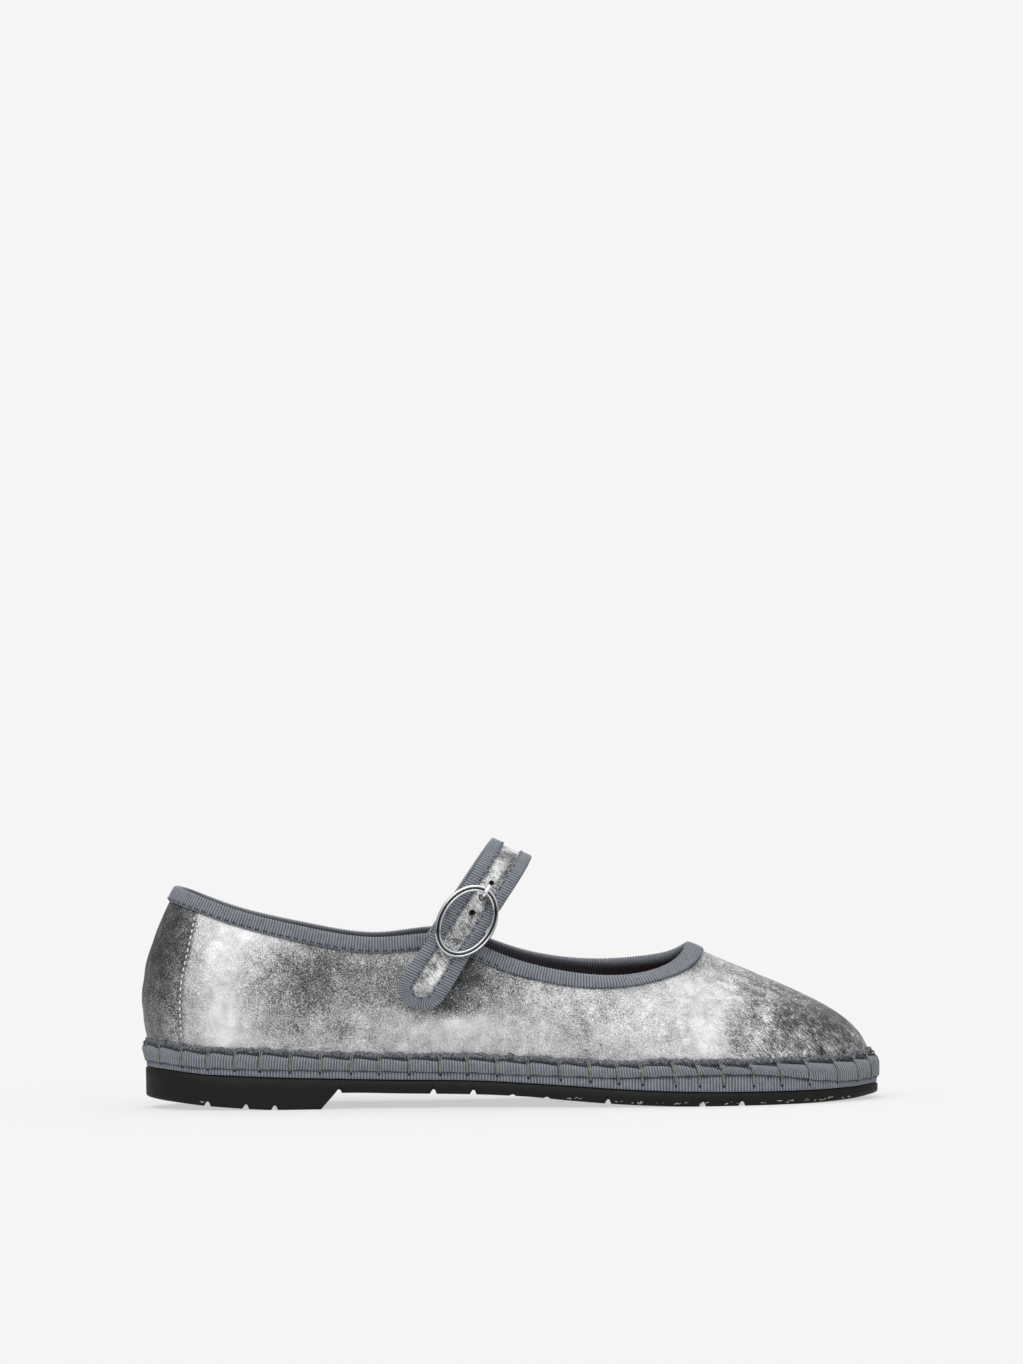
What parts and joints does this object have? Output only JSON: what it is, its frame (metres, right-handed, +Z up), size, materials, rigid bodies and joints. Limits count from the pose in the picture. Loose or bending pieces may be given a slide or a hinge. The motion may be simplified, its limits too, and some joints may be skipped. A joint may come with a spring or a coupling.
{
  "type": "mary jane flat",
  "caption": "Right mary jane flat: hollow velvet upper with ribbon-bound topline, buckled instep strap, ribbon band round the sole and low-heeled rubber outsole.",
  "frame": {"origin": "on the floor under the centre of the shoe's bounding box", "axes": "+X from heel to toe, -Y to the lateral side, +Z up from the floor the sole stands on"},
  "size_m": [0.2554, 0.0854, 0.0923],
  "materials": {
    "velvet": "crushed metallic nap",
    "ribbon": "ribbed",
    "lining": "matte",
    "rubber": "satin",
    "metal": "polished"
  },
  "bodies": {
    "root": {"outsole": "rubber", "midsole": "ribbon", "rand": "ribbon", "insole": "lining", "upper": "velvet", "collar_binding": "ribbon", "strap": "velvet", "strap_binding": "ribbon", "buckle_tab": "ribbon", "buckle_frame": "metal", "buckle_prong": "metal"}
  },
  "joints": []
}
